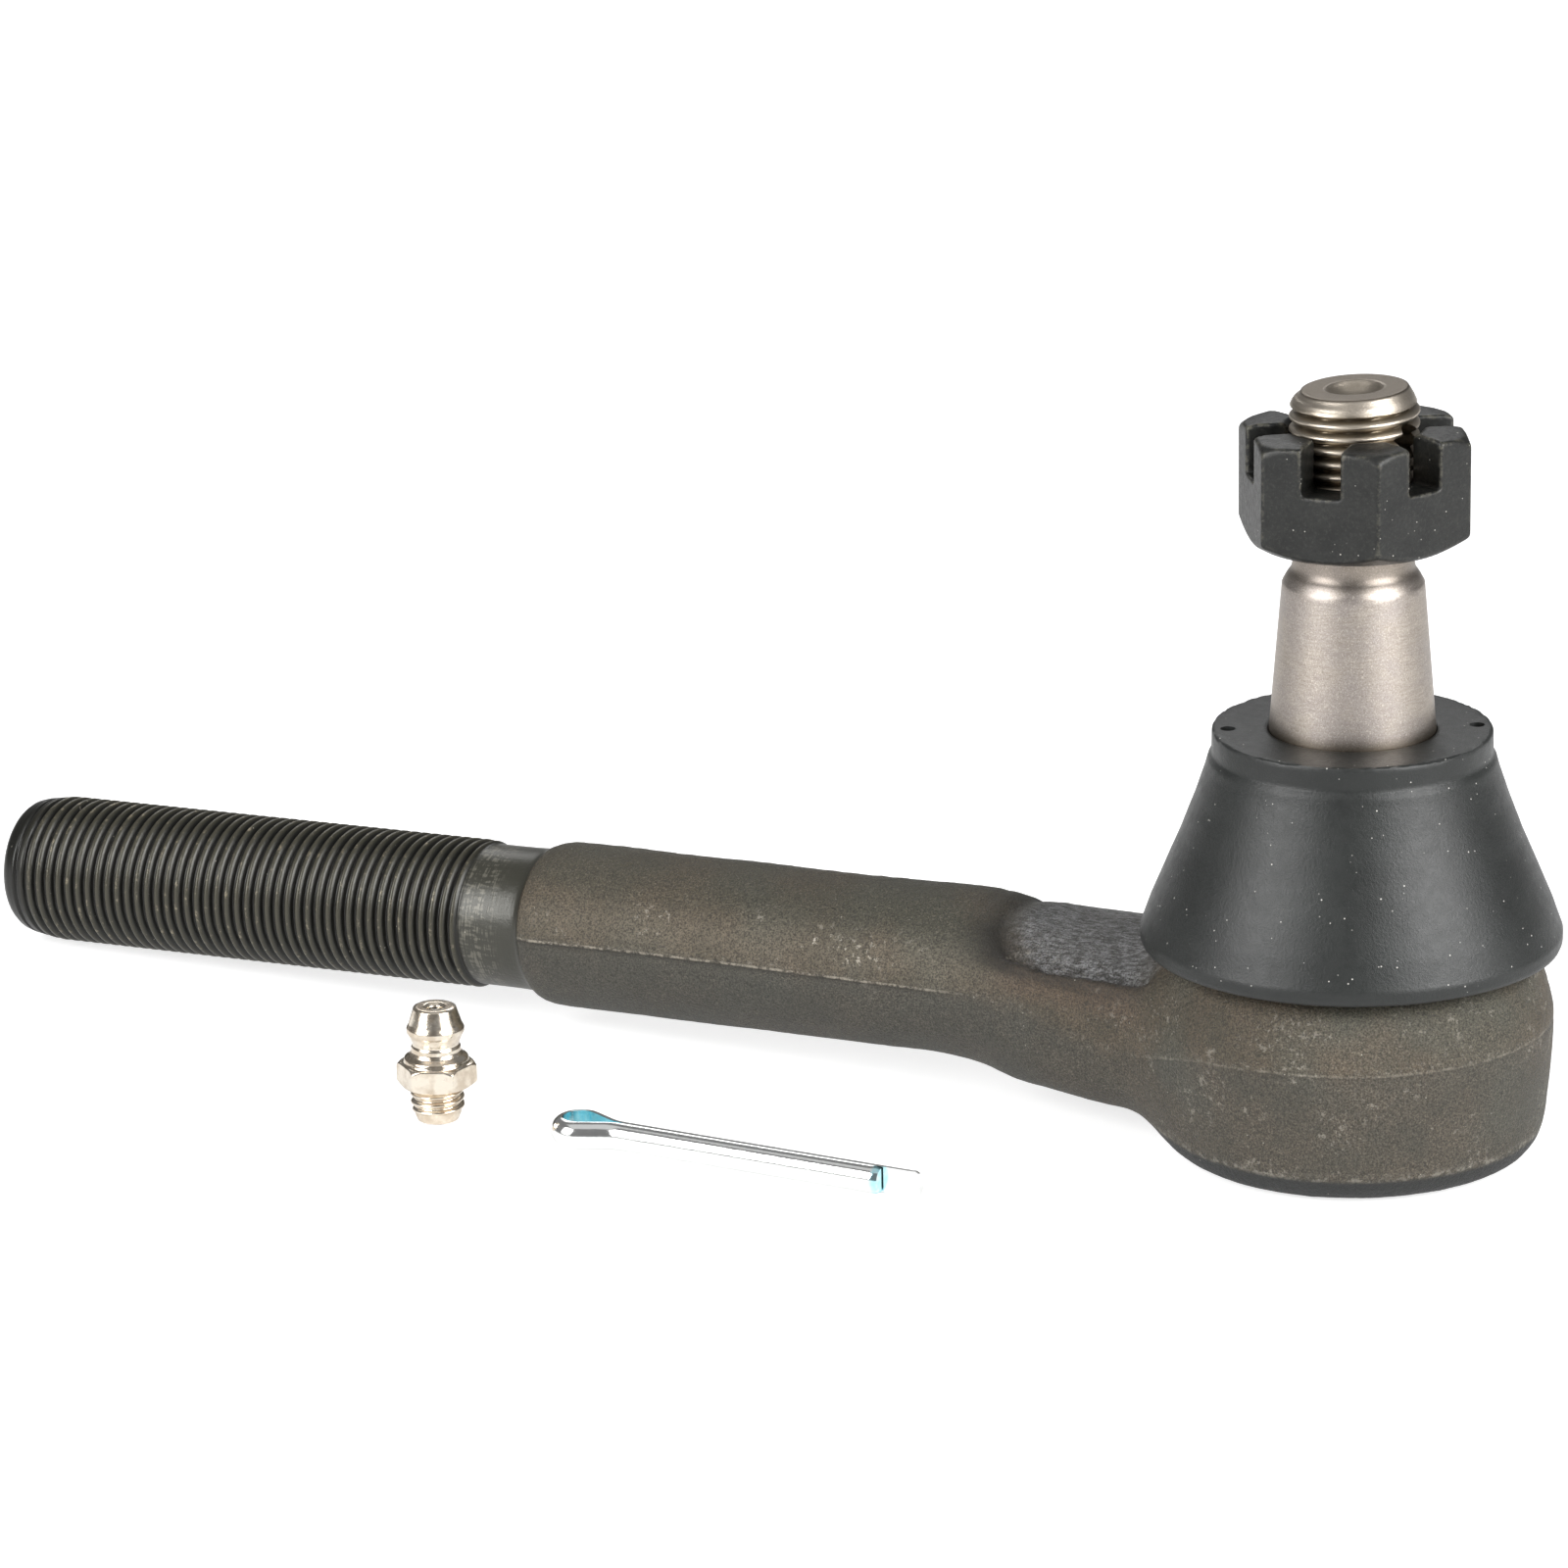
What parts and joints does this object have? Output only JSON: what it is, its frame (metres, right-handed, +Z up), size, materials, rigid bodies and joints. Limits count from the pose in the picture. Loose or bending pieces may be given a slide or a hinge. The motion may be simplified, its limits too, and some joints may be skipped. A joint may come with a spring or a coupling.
{
  "type": "tie rod end",
  "caption": "Outer tie rod end: forged housing with threaded shank, tapered ball stud, rubber boot and castle nut, with its grease fitting and cotter pin laid beside it.",
  "frame": {"origin": "centre of the ball, where the stud's axis meets the shank's axis", "axes": "+Z up the ball stud's axis towards its thread, -X along the shank, which droops 2.33 degrees below it, +Y completing the right-handed set. The part rests on the plane z = -15.6 mm."},
  "size_m": [0.1974, 0.0652, 0.0866],
  "materials": {
    "forged_steel": "rough as-forged steel, heat-darkened brown-grey, lightly oiled",
    "ground_steel": "ground bare steel, oiled",
    "sintered_bearing": "sintered iron, greased",
    "spring_steel": "bright spring steel",
    "plate_steel": "pressed steel, oiled",
    "boot_rubber": "satin black moulded rubber",
    "black_oxide": "black oxide on machined steel, oiled",
    "nickel_plate": "bright nickel plate, slightly warm",
    "zinc_plate": "bright zinc plate with a faint blue-green tint"
  },
  "bodies": {
    "housing": {"housing": "forged_steel", "upper_bearing": "sintered_bearing", "lower_bearing": "sintered_bearing", "preload_spring": "spring_steel", "cover_plate": "plate_steel"},
    "boot": {"boot": "boot_rubber"},
    "swing": {"boot_insert": "plate_steel"},
    "stud": {"ball_stud": "ground_steel"},
    "nut": {"castle_nut": "black_oxide"},
    "fitting": {"fitting_body": "nickel_plate", "fitting_spring": "spring_steel"},
    "check_ball": {"fitting_ball": "spring_steel"},
    "cotter_pin": {"cotter_pin": "zinc_plate"}
  },
  "joints": [
    {"name": "boot_turn", "type": "hinge", "parent": "housing", "child": "boot", "pos_m": [0, 0, 0], "axis": [0, 0, 1], "continuous": true},
    {"name": "stud_swing", "type": "hinge", "parent": "boot", "child": "swing", "pos_m": [0, 0, 0], "axis": [0, 1, 0], "range_deg": [-20, 20], "deforming": ["boot"]},
    {"name": "stud_spin", "type": "hinge", "parent": "swing", "child": "stud", "pos_m": [0, 0, 0], "axis": [0, 0, 1], "continuous": true},
    {"name": "nut_turn", "type": "hinge", "parent": "stud", "child": "nut", "pos_m": [0, 0, 0.06005], "axis": [0, 0, 1], "continuous": true},
    {"name": "fitting_lift", "type": "slide", "parent": "housing", "child": "fitting", "axis": [0, 0, 1], "range_m": [0, 0.05]},
    {"name": "check_ball_travel", "type": "slide", "parent": "fitting", "child": "check_ball", "axis": [0, 0, -1], "range_m": [0, 0.0009], "stiffness_N_per_m": 200, "springref_m": -0.001, "deforming": ["fitting_spring"]},
    {"name": "cotter_lift", "type": "slide", "parent": "housing", "child": "cotter_pin", "axis": [0, 0, 1], "range_m": [0, 0.05]}
  ]
}
